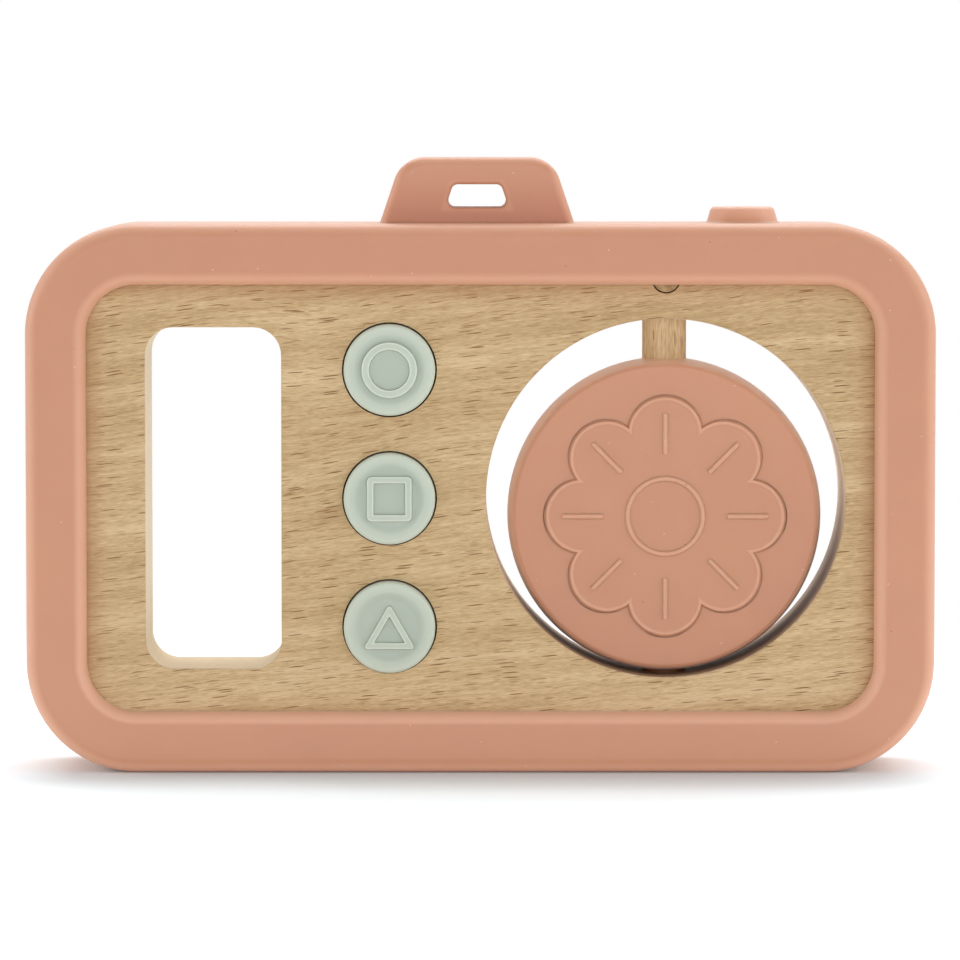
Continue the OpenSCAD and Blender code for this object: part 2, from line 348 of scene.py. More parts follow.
# Painted contact shadow: close to the toy's foot the floor's seen colour is darkened, and it comes back to
# full over the foot's reach
flat = wire.node("ShaderNodeSeparateXYZ", None, {0: spot})
beside = wire.math("MAXIMUM", abs(flat) - floorLook["footX"], 0)
before = wire.math("MAXIMUM", abs(flat.also("Y")) - floorLook["footY"], 0)
shadowFade = wire.math("SQRT", beside * beside + before * before) / floorLook["footReach"]
shadowFade = wire.math("MINIMUM", floorLook["shadowAtFoot"] + (1 - floorLook["shadowAtFoot"]) * shadowFade, 1)
bright = wire.node("ShaderNodeVectorMath", {"operation": "SCALE"}, {0: floorLook["seen"], "Scale": shadowFade})
shown = seenRay.tinted(floorLook["colour"], bright)
paper = wire.node("ShaderNodeBsdfDiffuse", None, {"Color": shown})
lift = seenRay * floorLook["lift"]
glow = wire.node("ShaderNodeEmission", None, {"Color": plainWhite, "Strength": lift})
lit = wire.node("ShaderNodeAddShader", None, {0: paper, 1: glow})
# Away from the toy the floor fades into the white behind it
away = wire.node("ShaderNodeVectorMath", {"operation": "LENGTH"}, {0: spot}, out="Value")
plain = wire.node("ShaderNodeEmission", None, {"Color": plainWhite})
faded = away.step(floorLook["near"], floorLook["far"]) * seenRay
lit = wire.node("ShaderNodeMixShader", None, {0: faded, 1: lit, 2: plain})
wire.node("ShaderNodeOutputMaterial", None, {"Surface": lit})
half = floorLook["size"] / 2
floorMesh = meshFrom(
    [(x, y, -floorLook["drop"]) for x, y in ((-half, -half), (half, -half), (half, half), (-half, half))],
    [(0, 1, 2, 3)],
)
floorMesh.materials.append(floorMaterial)
floor = bpy.data.objects.new("floor", floorMesh)
scene.collection.objects.link(floor)
print("toy camera: camera, lamps and floor set")


# Silicone

def siliconeMaterial(name, look):
    material, wire = newMaterial(name)
    spot = wire.node("ShaderNodeTexCoord", out="Object")
    pale = wire.node("ShaderNodeAttribute", {"attribute_name": "pale"}, out="Fac")

    def noise(scale, detail):
        return wire.node("ShaderNodeTexNoise", None, {"Vector": spot, "Scale": scale, "Detail": detail})

    def dots(scale, size, keep):
        cells = wire.node("ShaderNodeTexVoronoi", None, {"Vector": spot, "Scale": scale})
        chosen = wire.node("ShaderNodeSeparateColor", None, {0: cells.also("Color")})
        return cells.step(size, size * look["dotSoft"]) * chosen.math("LESS_THAN", chosen, keep)

    cloud = noise(look["cloudScale"], look["cloudDetail"])
    grain = noise(look["grainScale"], look["grainDetail"])
    dust = dots(look["dustScale"], look["dustSize"], look["dustKeep"])
    soil = dots(look["soilScale"], look["soilSize"], look["soilKeep"])
    colour = cloud.step(*look["cloudSpan"]).tinted(look["shade"], look["colour"])
    # Painted light: above 0 the attribute paints a highlight in the paler edge colour, and below 0 painted
    # shade in the deeper colour
    colour = (pale * look["paintedHighlightShare"]).tinted(colour, look["edge"])
    colour = (-pale).tinted(colour, look["deep"])
    colour = (dust * look["dustShare"]).tinted(colour, look["dust"])
    colour = (soil * look["soilShare"]).tinted(colour, look["soil"])
    rough = look["rough"] + (cloud - 0.5) * look["roughSpread"] + dust * look["dustRough"]
    skin = wire.node(
        "ShaderNodeBump", None,
        {"Height": grain, "Strength": look["bump"], "Distance": look["bumpDepth"]},
    )
    body = wire.node(
        "ShaderNodeBsdfPrincipled", None,
        {
            "Base Color": colour,
            "Roughness": rough,
            "Normal": skin,
            "IOR": look["ior"],
            "Coat Weight": look["coat"],
            "Coat Roughness": look["coatRough"],
            "Sheen Weight": look["sheen"],
            "Sheen Roughness": look["sheenRough"],
            "Subsurface Weight": look["scatter"],
            "Subsurface Radius": look["scatterRadius"],
            "Subsurface Scale": look["scatterScale"],
        },
    )
    wire.node("ShaderNodeOutputMaterial", None, {"Surface": body})
    return material


# The edge colour is painted highlight, and the deep colour painted shade
terracotta = {
    "colour": srgb(205, 146, 114), "shade": srgb(202, 143, 112),
    "edge": srgb(227, 175, 147), "paintedHighlightShare": 0.6, "deep": srgb(188, 118, 88),
    "cloudScale": 110, "cloudDetail": 3, "cloudSpan": (0.3, 0.7), "grainScale": 2600, "grainDetail": 2,
    "dustScale": 480, "dustSize": 0.07, "dustKeep": 0.35, "dustShare": 0.55, "dust": srgb(238, 208, 190),
    "soilScale": 330, "soilSize": 0.06, "soilKeep": 0.25, "soilShare": 0.5, "soil": srgb(120, 76, 60),
    "dotSoft": 0.5, "dustRough": 0.2, "rough": 0.45, "roughSpread": 0.12, "ior": 1.47,
    "bump": 0.25, "bumpDepth": 0.02 * mm,
    "coat": 0.15, "coatRough": 0.3, "sheen": 0.1, "sheenRough": 0.35,
    "scatter": 0.3, "scatterRadius": (1.0, 0.45, 0.3), "scatterScale": 1.2 * mm,
}
sage = {
    **terracotta,
    "colour": srgb(183, 194, 180), "shade": srgb(179, 191, 177),
    "edge": srgb(220, 228, 212), "paintedHighlightShare": 1.0,
    "dustShare": 0.3, "dust": srgb(222, 228, 215), "soilShare": 0.15,
    "scatterRadius": (0.8, 0.9, 0.8),
}
lensTerracotta = {**terracotta, "edge": srgb(240, 193, 167), "paintedHighlightShare": 1.0}
frameSilicone = siliconeMaterial("frameSilicone", terracotta)
lensSilicone = siliconeMaterial("lensSilicone", lensTerracotta)
buttonSilicone = siliconeMaterial("buttonSilicone", sage)


# Beech

def beechMaterial(name, look):
    material, wire = newMaterial(name)
    spot = wire.node("ShaderNodeTexCoord", out="Object")
    turned = wire.node(
        "ShaderNodeMapping", None,
        {"Vector": spot, "Rotation": look["turn"], "Scale": (1 / mm, 1 / mm, 1 / mm)},
    )
    along = wire.node("ShaderNodeSeparateXYZ", None, {0: turned})
    deep, across = along.also("Y"), along.also("Z")

    def stretched(run, depth, width):
        return wire.node(
            "ShaderNodeCombineXYZ", None, {0: along / run, 1: deep / depth, 2: leaning / width},
        )

    def streaks(run, width, detail):
        return wire.node(
            "ShaderNodeTexNoise", None,
            {
                "Vector": stretched(run, width, width), "Scale": 1,
                "Detail": detail, "Roughness": look["streakRough"],
            },
        )

    def dashes(run, depth, width, size, keep):
        cells = wire.node(
            "ShaderNodeTexVoronoi", None, {"Vector": stretched(run, depth, width), "Scale": 1},
        )
        chosen = wire.node("ShaderNodeSeparateColor", None, {0: cells.also("Color")})
        weight = look["dashLeast"] + (1 - look["dashLeast"]) * chosen.step(1 - keep, 1)
        kept = chosen.math("GREATER_THAN", chosen, 1 - keep)
        return cells.step(size, size * look["dashSoft"]) * weight * kept

    sway = wire.node(
        "ShaderNodeTexNoise", None,
        {"Vector": turned, "Scale": look["swayScale"], "Detail": look["swayDetail"]},
    )
    leaning = across - along * look["lean"] + (sway - 0.5) * look["sway"]
    bands = streaks(*look["bands"])
    fibre = streaks(*look["fibre"])
    fine = streaks(*look["fine"])
    flecks = dashes(*look["flecks"])
    pores = dashes(*look["pores"])
    # Painted light: the tone is lighter towards the bottom of the board and darker towards the top
    tone = 0.5 + (toyHeight / 2 - across) * look["tilt"]
    for streak, share in ((bands, "bandShare"), (fibre, "fibreShare"), (fine, "fineShare")):
        tone = tone + (streak - 0.5) * look[share]
    colour = wire.node("ShaderNodeValToRGB", {"stops": look["stops"]}, {0: tone})
    colour = (pores * look["poreShare"]).tinted(colour, look["pore"])
    colour = (flecks * look["fleckShare"]).tinted(colour, look["fleck"])
    if look["cutDepth"]:
        # The walls cut through the board get a paler colour as painted highlight, with painted shade low
        # down, and the button holes' walls are painted near black as shade
        fromFace = look["cutDepth"] - abs(deep)
        wall = fromFace.step(*look["cutSpan"])
        paintedWallLight = across.step(look["cutLow"], look["cutHigh"]).tinted(look["cutShade"], look["cut"])
        colour = (wall * look["cutShare"]).tinted(colour, paintedWallLight)
        # Painted shade on the wood along the frame's lip, darker and redder close to it
        besideLip = across - toyHeight / 2 - look["windowY"]
        besideLip = wire.math("MAXIMUM", abs(along) - look["windowX"], besideLip)
        colour = (besideLip.step(-look["lipShadeWidth"], 0) * look["lipShadeShare"]).tinted(colour, look["lipShade"])
        # Painted shade: the lower wall of the lens's opening is darkened where the lens shades it, the
        # right side more than the left
        level = across - toyHeight / 2 - (along - look["lensX"]) * look["duskLean"]
        under = level.step(look["duskTop"], look["duskFull"]) * along.math("GREATER_THAN", along, 0)
        colour = (wall * under * look["duskShare"]).tinted(colour, look["paintedShade"])
        # Painted shade: the button holes' walls go near black
        up = (across - toyHeight / 2) / look["holePitch"]
        up = (up - up.math("ROUND", up)) * look["holePitch"]
        side = along - look["holeX"]
        hole = wire.math("SQRT", side * side + up * up).step(*look["holeSpan"])
        colour = (hole * fromFace.step(0, look["holeDepth"])).tinted(colour, look["hole"])
    # Painted shade at the dowel's foot, under the lens
    if look["footTop"]:
        up = wire.node("ShaderNodeSeparateXYZ", None, {0: spot}, out="Z")
        colour = up.step(look["footTop"], look["footFull"]).tinted(colour, look["paintedShade"])
    height = (fibre + fine) * 0.5 - flecks * look["fleckPit"] - pores * look["porePit"]
    skin = wire.node(
        "ShaderNodeBump", None, {"Height": height, "Strength": look["bump"], "Distance": look["bumpDepth"]},
    )
    body = wire.node(
        "ShaderNodeBsdfPrincipled", None,
        {
            "Base Color": colour, "Normal": skin, "IOR": look["ior"],
            "Roughness": look["rough"] + (fine - 0.5) * look["roughSpread"],
        },
    )
    wire.node("ShaderNodeOutputMaterial", None, {"Surface": body})
    return material


beech = {
    "turn": (0, 0, 0), "lean": 0.11, "sway": 3.0, "swayScale": 0.03, "swayDetail": 1, "tilt": 0.003,
    "bands": (45, 4, 2), "bandShare": 0.9, "fibre": (6, 0.34, 3), "fibreShare": 1.0,
    "fine": (1.5, 0.1, 2), "fineShare": 1.4,
    "flecks": (5.4, 1.6, 0.34, 0.28, 0.62), "fleckShare": 1.0, "fleck": srgb(128, 86, 42),
    "pores": (2.8, 1.0, 0.24, 0.28, 0.72), "poreShare": 0.75, "pore": srgb(165, 128, 82),
    "stops": [
        (0.2, srgb(181, 150, 107)), (0.42, srgb(199, 169, 125)),
        (0.58, srgb(207, 178, 134)), (0.8, srgb(221, 195, 154)),
    ],
    "streakRough": 0.6, "dashLeast": 0.4, "dashSoft": 0.7, "fleckPit": 0.8, "porePit": 0.4,
    "cutDepth": 9.0, "cutSpan": (0.05, 0.4), "cutShare": 0.75, "cut": srgb(248, 237, 215),
    "cutLow": 16, "cutHigh": 30, "cutShade": srgb(224, 206, 176),
    "windowX": 58.5, "windowY": 31.75, "lipShadeWidth": 3.2, "lipShadeShare": 0.4, "lipShade": srgb(165, 118, 78),
    "lensX": 27.54, "duskLean": 0.25, "duskTop": -2, "duskFull": -17,
    "duskShare": 0.68, "paintedShade": srgb(100, 56, 24), "footTop": 0,
    "holeX": -13.5, "holePitch": 19.1, "holeSpan": (7.35, 7.15), "holeDepth": 0.2, "hole": srgb(30, 22, 16),
    "rough": 0.6, "roughSpread": 0.2, "ior": 1.4, "bump": 0.35, "bumpDepth": 0.06 * mm,
}
# The dowel's stops are lighter than the board's, painted light against the shade it sits in, and its foot
# gets painted shade
dowelBeech = {
    **beech, "turn": (0, math.radians(90), 0), "lean": 0, "sway": 1.5, "tilt": 0, "cutDepth": 0,
    "footTop": 17 * mm, "footFull": 15.3 * mm,
    "bands": (40, 2, 2), "flecks": (6, 1.2, 0.5, 0.24, 0.5),
    "stops": [
        (0.2, srgb(192, 160, 116)), (0.42, srgb(209, 180, 138)),
        (0.58, srgb(216, 189, 149)), (0.8, srgb(228, 204, 168)),
    ],
}
pinBeech = {
    **beech, "turn": (0, 0, math.radians(90)), "lean": 0, "sway": 1.0, "tilt": 0, "cutDepth": 0,
    "bands": (40, 1.2, 2), "flecks": (6, 0.6, 0.6, 0.3, 0.7),
    "stops": [
        (0.2, srgb(140, 108, 68)), (0.42, srgb(164, 132, 88)),
        (0.58, srgb(178, 146, 102)), (0.8, srgb(192, 162, 118)),
    ],
}
woods = {
    "beech_board": ("beechBoard", beech, "beech"),
    "lens_dowel": ("dowelBeech", dowelBeech, "dowel_beech"),
    "dowel_lock_pin": ("pinBeech", pinBeech, "dowel_beech"),
    "lens_core": ("coreBeech", {**beech, "cutDepth": 0}, "beech"),
}
for node, (label, look, slotName) in woods.items():
    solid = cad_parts[node]
    wood = beechMaterial(label, look)
    for place in solid.material_slots:
        place.material = wood
print("toy camera: silicone and beech mixed")


# Silicone frame: a section swept round the board, with the strap shoe and the shutter bump on top

frameSizes = {
    "Width": 135, "Height": toyHeight, "Corner": 16.4, "Face": 9, "Wall": 4, "Board": 18, "Depth": 24,
    "Outer edge": 2.2, "Window edge": 1.8, "Hem": 0.3, "Spare": 0.2, "Path spare": 1,
}
frameSteps = {"corner": 40, "edge": 12, "hem": 4}
# Spans of painted highlight and shade on the frame
frameLightSpans = {
    "outer": (0.85, 2.3, 0.4), "window": (1.1, 6.9, 8.2), "high": (0.14, 10, 36),
    "lowSpan": (10, 38), "lowEdge": 1.2, "lowFace": 0.38,
}


# A closed curve through corners (x, y, rounding, steps)
def loopCurve(wire, corners):
    index = wire.node("GeometryNodeInputIndex")

    def pick(kind, values):
        sockets = {0: index, **{i + 1: value for i, value in enumerate(values)}}
        return wire.node("GeometryNodeIndexSwitch", {"data_type": kind, "choices": len(values)}, sockets)

    line = wire.node("GeometryNodeCurvePrimitiveLine")
    line = wire.node("GeometryNodeResampleCurve", {"mode": "COUNT"}, {"Curve": line, "Count": len(corners)})
    spots = [wire.node("ShaderNodeCombineXYZ", None, {0: x, 1: y}) for x, y, rounding, steps in corners]
    line = wire.node("GeometryNodeSetPosition", None, {"Geometry": line, "Position": pick("VECTOR", spots)})
    line = wire.node("GeometryNodeSetSplineCyclic", None, {"Geometry": line, "Cyclic": True})
    return wire.node(
        "GeometryNodeFilletCurve", {"mode": "POLY"},
        {
            "Curve": line,
            "Count": pick("INT", [steps for x, y, rounding, steps in corners]),
            "Radius": pick("FLOAT", [rounding for x, y, rounding, steps in corners]),
        },
    )


def frameMesh():
    wire, size = newTree("frameSweep", frameSizes)
    x, y, corner = size["Width"] / 2, size["Height"] / 2, size["Corner"]
    inX, inY = x - corner - size["Path spare"], y - corner - size["Path spare"]
    turn = (corner, frameSteps["corner"])
    path = loopCurve(wire, [
        (x, -inY, 0, 0), (x, inY, 0, 0), (x, y, *turn),
        (inX, y, 0, 0), (-inX, y, 0, 0), (-x, y, *turn),
        (-x, inY, 0, 0), (-x, -inY, 0, 0), (-x, -y, *turn),
        (-inX, -y, 0, 0), (inX, -y, 0, 0), (x, -y, *turn),
    ])
    front, seat = size["Depth"] / 2, size["Board"] / 2
    outer, window, spare = size["Outer edge"], size["Window edge"], size["Spare"]
    lip, wall, hem = -size["Face"], -size["Wall"], (size["Hem"], frameSteps["hem"])
    half = [
        (0, front - outer - spare, 0, 0), (0, front, outer, frameSteps["edge"]),
        (-outer - spare, front, 0, 0), (lip + window + spare, front, 0, 0),
        (lip, front, window, frameSteps["edge"]), (lip, seat, *hem), (wall, seat, *hem),
    ]
    section = loopCurve(wire, half + [(x, -y, r, n) for x, y, r, n in reversed(half)])
    path = wire.node("GeometryNodeSetCurveNormal", {"mode": "Z_UP"}, {"Curve": path})
    swept = wire.node("GeometryNodeCurveToMesh", None, {"Curve": path, "Profile Curve": section})
    return grownMesh(wire, swept, frameSilicone, frameSizes)


shoe = {
    "middle": -0.5, "baseWidth": 29, "topWidth": 22.4, "height": 9.8, "thickness": 11,
    "corner": 4.7, "edge": 1.3, "root": 3, "rootCorner": 1.6, "flare": 0.4,
    "slotWidth": 9.4, "slotHeight": 3.4, "slotLift": 2.4, "slotCorner": 1.0, "slotRim": 0.55,
    "spokes": 400, "faceRows": 24, "firstRow": 0.02, "lastRow": 0.985,
    "edgeSteps": 8, "cornerSteps": 14, "cornerSpare": 0.05,
    "reach": 17, "below": 0.1, "wallReach": 0.3, "slotWallShade": -0.8,
    "rimSpan": (1.4, 0.3), "rimHighlight": 0.7, "halo": (0.5, 0.9, 0.3), "haloHighlight": 0.5,
    "footShade": (0.6, 8.8, 0.5),
}
shoeLean = (shoe["baseWidth"] - shoe["topWidth"]) / 2 / shoe["height"]
slotLow, slotHigh = shoe["slotLift"], shoe["slotLift"] + shoe["slotHeight"]


# Where rays from the middle meet a closed outline, with the outline's outward normal there
def rayHits(outline, middle, spokes):
    parallel, slack = 1e-12, 1e-9
    hits = []
    for k in range(spokes):
        angle = 2 * math.pi * k / spokes
        ray = Vector((math.cos(angle), math.sin(angle)))
        for a, b in zip(outline, outline[1:] + outline[:1]):
            side = b - a
            bottom = ray.x * side.y - ray.y * side.x
            if abs(bottom) < parallel:
                continue
            gap = a - middle
            far = (gap.x * side.y - gap.y * side.x) / bottom
            share = (gap.x * ray.y - gap.y * ray.x) / bottom
            if far > 0 and -slack <= share <= 1 + slack:
                normal = Vector((side.y, -side.x)).normalized()
                hits.append((middle + ray * far, normal if normal.dot(ray) > 0 else -normal))
                break
    return hits


def shoeMesh():
    deep, steps = shoe["thickness"] / 2, shoe["edgeSteps"]
    rim, edge = shoe["slotRim"], shoe["edge"]

    def trapezium(low, high, base, rounding, footRounding):
        wide, narrow = base - low * shoeLean, base - high * shoeLean
        corners = [
            (wide, low, footRounding), (narrow, high, rounding),
            (-narrow, high, rounding), (-wide, low, footRounding),
        ]
        return softLine(corners, shoe["cornerSteps"], shoe["cornerSpare"])

    def ring(hits, out, z):
        return [Vector((*(spot + normal * out), z)) for spot, normal in hits]

    middle = Vector((0, (slotLow + slotHigh) / 2))
    outline = trapezium(
        -shoe["root"], shoe["height"], shoe["baseWidth"] / 2, shoe["corner"], shoe["rootCorner"],
    )
    slotBase = shoe["slotWidth"] / 2 + slotLow * shoeLean
    slot = trapezium(slotLow, slotHigh, slotBase, shoe["slotCorner"], shoe["slotCorner"])
    inner, outer = (rayHits(line, middle, shoe["spokes"]) for line in (slot, outline))
    turns = [math.pi / 2 * k / steps for k in range(steps + 1)]
    rows = [r / shoe["faceRows"] for r in range(1, shoe["faceRows"])]
    # The front runs from the slot's wall over its rim, the face and the outer edge. The back mirrors it.
    front = [ring(inner, rim * (1 - math.cos(a)), deep - rim + rim * math.sin(a)) for a in turns]
    for r in [shoe["firstRow"], *rows, shoe["lastRow"]]:
        front.append([
            Vector((*((a + na * rim) * (1 - r) + (b - nb * edge) * r), deep))
            for (a, na), (b, nb) in zip(inner, outer)
        ])
    front += [ring(outer, edge * (math.cos(a) - 1), deep - edge + edge * math.sin(a)) for a in turns[::-1]]
    loops = front + [[Vector((x, y, -z)) for x, y, z in loop] for loop in front[::-1]]
    flare = shoe["flare"]
    for loop in loops:
        for spot in loop:
            drop = min(max(spot.y, 0), flare)
            swell = flare - math.sqrt(flare ** 2 - (flare - drop) ** 2)
            spot.x *= 1 + swell / (shoe["baseWidth"] / 2 - spot.y * shoeLean)
            spot.z *= 1 + swell / deep
            spot.x += shoe["middle"]
            spot.y += toyHeight / 2
    return loft(loops, True)


shutter = {
    "middle": 39.2, "steps": 96, "cornerSteps": 10,
    "line": [(0, 2.4, 0), (4.66, 2.4, 0.75), (5.3, 0.3, 0.4), (5.65, -0.1, 0), (5.5, -1, 0), (0, -1, 0)],
    "reach": 7, "tint": 0.4, "topHighlight": (1.1, 0.6, 2.0), "sideHighlight": (0.9, 2.2, 4.8),
}


def shutterMesh():
    mesh = lathe(softLine(shutter["line"], shutter["cornerSteps"]), shutter["steps"])
    mesh.transform(
        Matrix.Translation((shutter["middle"], toyHeight / 2, 0)) @ Matrix.Rotation(-math.pi / 2, 4, "X")
    )
    return mesh


# Painted light on the silicone: highlights along its edges, round the strap slot, on the shutter and over
# the lower part, and painted shade in the strap slot's walls, at the shoe's foot and towards the top
def framePaintedLight(spot):
    height = spot.y - toyHeight / 2
    onTop = height > -shoe["root"] - shoe["below"]
    side = abs(spot.x - shutter["middle"])
    if onTop and side < shutter["reach"]:
        return shutter["tint"] + max(tint(height, *shutter["topHighlight"]), tint(side, *shutter["sideHighlight"]))
    side = abs(spot.x - shoe["middle"])
    if onTop and side < shoe["reach"]:
        inside = shoe["baseWidth"] / 2 - shoeLean * height - side
        rim = smooth(min(inside, shoe["height"] - height), *shoe["rimSpan"])
        past = side - shoe["slotWidth"] / 2 + (height - slotLow) * shoeLean
        past = max(past, slotLow - height, height - slotHigh)
        if past < shoe["wallReach"] and abs(spot.z) < shoe["thickness"] / 2 - shoe["slotRim"]:
            return shoe["slotWallShade"]
        halo = tint(past, *shoe["halo"])
        edges = max(shoe["rimHighlight"] * rim, shoe["haloHighlight"] * halo)
        return edges - tint(height, *shoe["footShade"]) * (1 - rim) * (1 - halo)
    corner = frameSizes["Corner"]
    across = abs(spot.x) - frameSizes["Width"] / 2 + corner
    up = abs(spot.y) - toyHeight / 2 + corner
    inside = corner - math.hypot(max(across, 0), max(up, 0)) - min(max(across, up), 0)
    # Edges get painted highlights, stronger low down, the lower face is painted paler and the upper part
    # deeper
    low = smooth(-spot.y, *frameLightSpans["lowSpan"])
    edges = max(tint(inside, *frameLightSpans["outer"]), tint(inside, *frameLightSpans["window"]))
    edges *= 1 + frameLightSpans["lowEdge"] * low
    return max(edges, frameLightSpans["lowFace"] * low) - tint(spot.y, *frameLightSpans["high"]) * (1 - min(edges, 1))


frameWhole = combined([frameMesh(), shoeMesh(), shutterMesh()])
addPiece(
    "siliconeFrame", frameWhole, Matrix.Identity(4), framePaintedLight, frameSilicone,
    "camera", "silicone_frame",
)


# Buttons: a turned body with a dished end, and a raised outline in the dish

button = {
    "x": -13.5, "pitch": 19.1, "steps": 128,
    "end": [
        (0, 10.66, 0), (4.2, 10.66, 1.6), (5.2, 10.98, 1.0),
        (6.8, 10.9, 0.55), (6.8, 3.9, 0.3), (5.6, 3.9, 0.3),
    ],
    "floor": 10.6, "top": 11.2, "foot": 0.2, "hollow": 0.04, "hollowShare": 0.55,
    "ridgeSteps": 5, "leastCorner": 0.12,
    "dish": 5, "hollowHighlight": 0.3, "rimHighlight": (0.45, 4.2, 6.4),
}
symbols = {
    "circle": {
        "row": 1, "out": -0.7, "sides": 4, "start": 0, "lift": 0,
        "inside": 3.57, "corner": 3.57, "line": 1.0, "cornerSteps": 24,
    },
    "square": {
        "row": 0, "out": 0.0, "sides": 4, "start": 0, "lift": 0,
        "inside": 2.83, "corner": 0.2, "line": 0.86, "cornerSteps": 10,
    },
    "triangle": {
        "row": -1, "out": 0.6, "sides": 3, "start": -90, "lift": -0.92,
        "inside": 1.78, "corner": -0.1, "line": 0.8, "cornerSteps": 10,
    },
}


# A regular outline with round corners, given by its inner radius
def roundedLoop(sides, start, inside, corner, steps, height, lift):
    loop = []
    for k in range(sides):
        first = start + 360 / sides * k
        point = math.radians(first + 180 / sides)
        far = (inside - corner) / math.cos(math.pi / sides)
        for j in range(steps + 1):
            angle = math.radians(first + 360 / sides * j / steps)
            loop.append((
                far * math.cos(point) + corner * math.cos(angle),
                far * math.sin(point) + corner * math.sin(angle) + lift,
                height,
            ))
    return loop


def symbolMesh(symbol):
    foot, steps = button["foot"], button["ridgeSteps"]
    rise = button["top"] - button["floor"]
    half = symbol["line"] / 2
    climb = [(half + foot * (1 - k / steps), smooth(k / steps, 0, 1)) for k in range(steps + 1)]
    sag, flat = 1 - button["hollow"] / rise, half * button["hollowShare"]
    section = climb + [(flat, sag), (-flat, sag)] + [(-out, up) for out, up in climb[::-1]]
    loops = []
    for out, up in section:
        corner = max(symbol["corner"] + out, button["leastCorner"])
        loops.append(roundedLoop(
            symbol["sides"], symbol["start"], symbol["inside"] + out, corner,
            symbol["cornerSteps"], button["floor"] + rise * up, symbol["lift"],
        ))
    return loft(loops[::-1], True)


# Painted highlight on the button: paler on the ridge crests, a little paler just below them, and paler
# towards the dish's rim
def buttonPaintedLight(spot):
    far = math.hypot(spot.x, spot.y)
    below = (button["top"] - spot.z) / button["hollow"]  # 0 on a ridge's crests, 1 in the hollow between
    if below < 0.5:
        return 1
    if below < 1.5 and far < button["dish"]:
        return button["hollowHighlight"]
    return tint(far, *button["rimHighlight"])


for label, symbol in symbols.items():
    end = button["end"]
    line = softLine(end + [(x, -y, r) for x, y, r in end[::-1]])
    addPiece(
        label + "Button", combined([lathe(line, button["steps"]), symbolMesh(symbol)]),
        Matrix.Translation((button["x"], symbol["row"] * button["pitch"], symbol["out"])), buttonPaintedLight,
        buttonSilicone, label + "_button", label + "_button",
    )


# Lens: two covers that meet in a fine seam, the front one with a flower in relief

lens = {
    "x": 27.54, "y": -2.85, "radius": 23.5, "half": 6.5, "edge": 0.7, "seam": 0.4, "bow": 26.35,
    "coreRadius": 20.25, "coreHalf": 4.55, "boreRadius": 3.675, "boreSpare": 2, "boreTurn": 0.03,
    "steps": 256, "edgeSteps": 12, "rimSteps": 16, "boreSteps": 64, "edgeSpare": 0.3, "seamTurn": 0.9,
    "rimSpan": (22.4, 23.0), "lineHighlight": (0.3, 0.02, 0.09),
}
flowerSizes = {
    "Petals": 8, "Ring": 12.31, "Petal": 5.55, "Rise": 0.4, "Foot": 0.16, "Sink": 0.3,
    "Bead": 0.1, "Bead width": 0.55, "Heart": 5.61,
    "Vein length": 6.06, "Vein width": 0.9, "Vein rise": 0.4,
}
flowerGrid = {
    "rows": 44, "underRows": 2, "spokes": 480, "crowding": 2.0, "weld": 0.001,
    "ridgePoints": 17, "ridgeSpread": 1.5, "ridgeCrest": 0.12,
    "veinPoints": 32, "veinEnd": 6, "veinBlunt": 1.0001, "heartPoints": 160,
}


def coverMesh():
    radius, half, edge, bow = lens["radius"], lens["half"], lens["edge"], lens["bow"]
    edgeY = half - edge
    inward = radius - bow  # the rim's bow has its middle past the lens's own
    edgeX = inward + math.sqrt((bow - edge) ** 2 - edgeY ** 2)
    tilt = math.degrees(math.atan2(edgeY, edgeX - inward))
    line = [Vector((0, half)), Vector((edgeX - lens["edgeSpare"], half))]
    line += arc(edgeX, edgeY, edge, 90, tilt, lens["edgeSteps"])
    line += arc(inward, 0, bow, tilt, lens["seamTurn"], lens["rimSteps"])[1:]
    line += [
        Vector((radius - lens["seam"], 0)), Vector((lens["coreRadius"], 0)),
        Vector((lens["coreRadius"], lens["coreHalf"])), Vector((0, lens["coreHalf"])),
    ]
    cover = bpy.data.objects.new("cover", lathe(line, lens["steps"]))
    wide, long = lens["boreRadius"], radius + lens["boreSpare"]
    bore = lathe([(0, -long), (wide, -long), (wide, long), (0, long)], lens["boreSteps"])
    bore.transform(Matrix.Rotation(math.pi / 2, 4, "X") @ Matrix.Rotation(lens["boreTurn"], 4, "Z"))
    cutter = bpy.data.objects.new("cutter", bore)
    for helper in (cover, cutter):
        scene.collection.objects.link(helper)
    drill = cover.modifiers.new("bore", "BOOLEAN")
    drill.operation, drill.solver, drill.object = "DIFFERENCE", "EXACT", cutter
    mesh = evaluated(cover)
    bpy.data.objects.remove(cutter)
    return mesh


